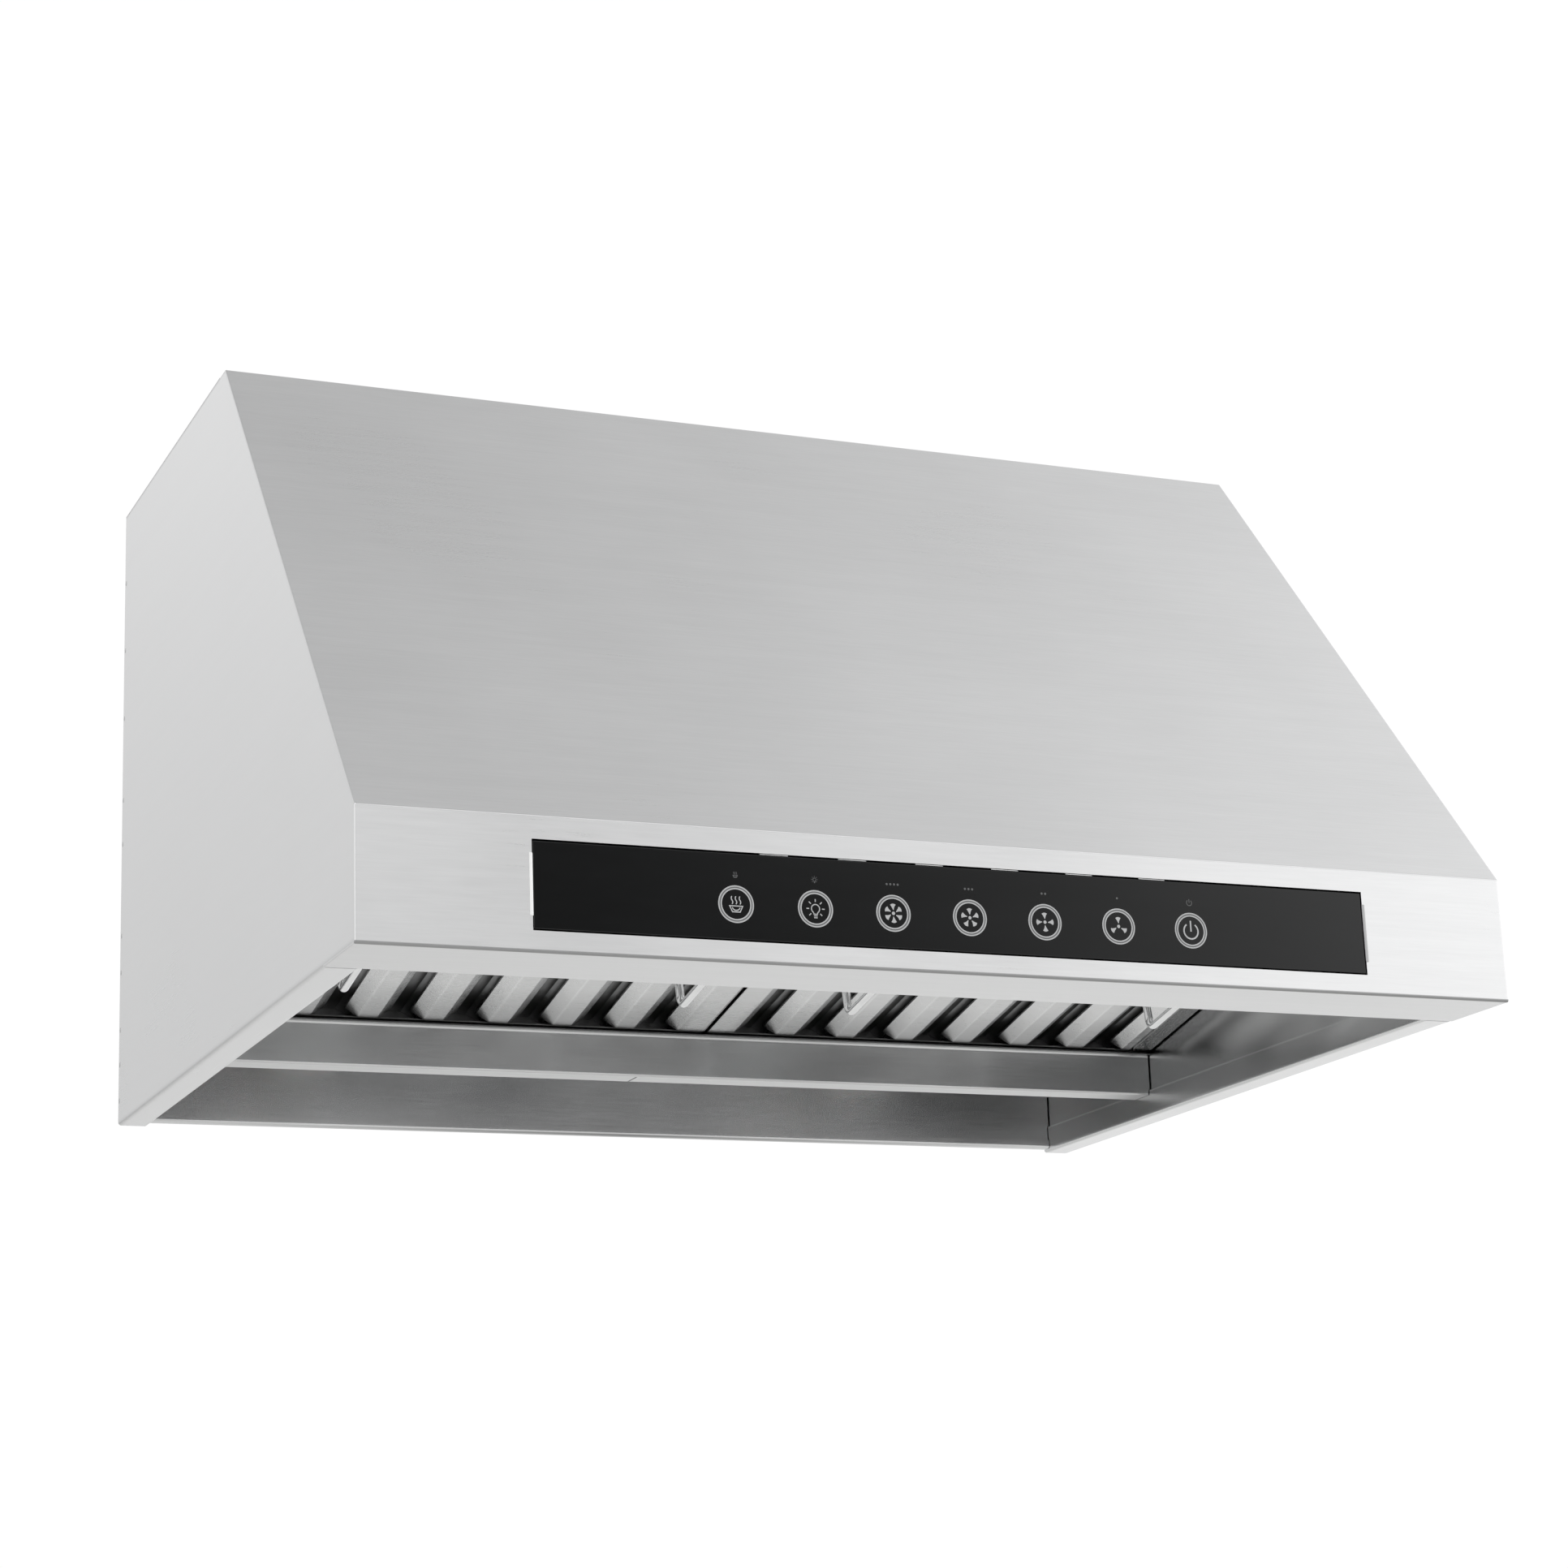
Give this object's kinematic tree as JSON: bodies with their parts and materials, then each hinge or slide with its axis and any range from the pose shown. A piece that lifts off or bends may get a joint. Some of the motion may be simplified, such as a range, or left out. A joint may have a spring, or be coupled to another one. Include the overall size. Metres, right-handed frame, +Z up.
{
  "type": "under cabinet range hood",
  "caption": "Stainless canopy hood with a sloped front, touch control band, sloping baffle filters with wire handles, lamps, blower and damped rectangular duct collar.",
  "frame": {"origin": "centre of the flat top face, where the hood meets the cabinet", "axes": "+Z up, +Y towards the wall, +X to the right of a person who faces the wall; the sloped front faces -Y"},
  "size_m": [0.758, 0.61, 0.497],
  "materials": {
    "stainless_shell": "fine horizontal brushing",
    "stainless_liner": "fine brushing, a little duller than the outside",
    "stainless_filter": "bright satin baffles",
    "chrome_wire": "polished",
    "black_glass": "gloss black, opaque, back printed",
    "circuit_board": "green solder mask",
    "black_plastic": "fine moulded grain",
    "frosted_lens": "frosted diffuser",
    "cast_aluminium": "satin",
    "lamp_glass": "frosted heat lamp glass",
    "porcelain": "glazed ceramic",
    "galvanised_steel": "zinc coated, dull",
    "motor_enamel": "dark enamel",
    "cable_sheath": "matt sleeve"
  },
  "bodies": {
    "hood": {"canopy_front": "stainless_shell", "side_panel_right": "stainless_shell", "side_panel_left": "stainless_shell", "top_panel": "stainless_shell", "back_panel": "stainless_shell", "inner_wall_right": "stainless_liner", "inner_wall_left": "stainless_liner", "inner_wall_back": "stainless_liner", "light_panel": "stainless_liner", "grease_trough": "stainless_liner", "lamp_shelf": "stainless_liner", "side_ledge_right": "stainless_liner", "side_ledge_left": "stainless_liner", "light_bezel_left": "chrome_wire", "light_bezel_right": "chrome_wire", "control_glass": "black_glass", "control_board": "circuit_board", "control_housing": "black_plastic", "cable_bushing": "black_plastic", "light_lens_left": "frosted_lens", "light_lens_right": "frosted_lens", "light_body_left": "cast_aluminium", "light_body_right": "cast_aluminium", "run_capacitor": "cast_aluminium", "warming_lamp_left": "lamp_glass", "warming_lamp_right": "lamp_glass", "lamp_socket_left": "porcelain", "lamp_socket_right": "porcelain", "lamp_bracket_left": "galvanised_steel", "lamp_bracket_right": "galvanised_steel", "blower_housing": "galvanised_steel", "inlet_ring_right": "galvanised_steel", "inlet_ring_left": "galvanised_steel", "motor_bracket": "galvanised_steel", "capacitor_clip": "galvanised_steel", "duct_collar": "galvanised_steel", "junction_box": "galvanised_steel", "junction_box_cover": "galvanised_steel", "power_unit": "galvanised_steel", "power_unit_cover": "galvanised_steel", "motor_body": "motor_enamel", "motor_cable": "cable_sheath"},
    "left_filter": {"filter_left": "stainless_filter"},
    "right_filter": {"filter_right": "stainless_filter"},
    "fan_wheel": {"impeller": "galvanised_steel", "motor_shaft": "chrome_wire"},
    "damper": {"damper_flap": "galvanised_steel", "damper_pin": "chrome_wire"},
    "left_handle_1": {"filter_left_handle_1": "chrome_wire"},
    "left_handle_2": {"filter_left_handle_2": "chrome_wire"},
    "right_handle_1": {"filter_right_handle_1": "chrome_wire"},
    "right_handle_2": {"filter_right_handle_2": "chrome_wire"}
  },
  "joints": [
    {"name": "left_filter_drop", "type": "hinge", "parent": "hood", "child": "left_filter", "pos_m": [-0.171, -0.028, -0.4089], "axis": [1, 0, 0], "range_deg": [0, 75]},
    {"name": "right_filter_drop", "type": "hinge", "parent": "hood", "child": "right_filter", "pos_m": [0.171, -0.028, -0.4089], "axis": [1, 0, 0], "range_deg": [0, 75]},
    {"name": "left_handle_1_swing", "type": "hinge", "parent": "left_filter", "child": "left_handle_1", "pos_m": [-0.302, -0.19819, -0.37742], "axis": [0, 0.9777, -0.2102], "range_deg": [-70, 70]},
    {"name": "left_handle_2_swing", "type": "hinge", "parent": "left_filter", "child": "left_handle_2", "pos_m": [-0.069, -0.19819, -0.37742], "axis": [0, 0.9777, -0.2102], "range_deg": [-70, 70]},
    {"name": "right_handle_1_swing", "type": "hinge", "parent": "right_filter", "child": "right_handle_1", "pos_m": [0.0532, -0.19819, -0.37742], "axis": [0, 0.9777, -0.2102], "range_deg": [-70, 70]},
    {"name": "right_handle_2_swing", "type": "hinge", "parent": "right_filter", "child": "right_handle_2", "pos_m": [0.2862, -0.19819, -0.37742], "axis": [0, 0.9777, -0.2102], "range_deg": [-70, 70]},
    {"name": "fan_spin", "type": "hinge", "parent": "hood", "child": "fan_wheel", "pos_m": [0, -0.0195, -0.167], "axis": [1, 0, 0], "continuous": true},
    {"name": "damper_open", "type": "hinge", "parent": "hood", "child": "damper", "pos_m": [0, 0.114, 0.009], "axis": [-1, 0, 0], "range_deg": [0, 80]}
  ]
}
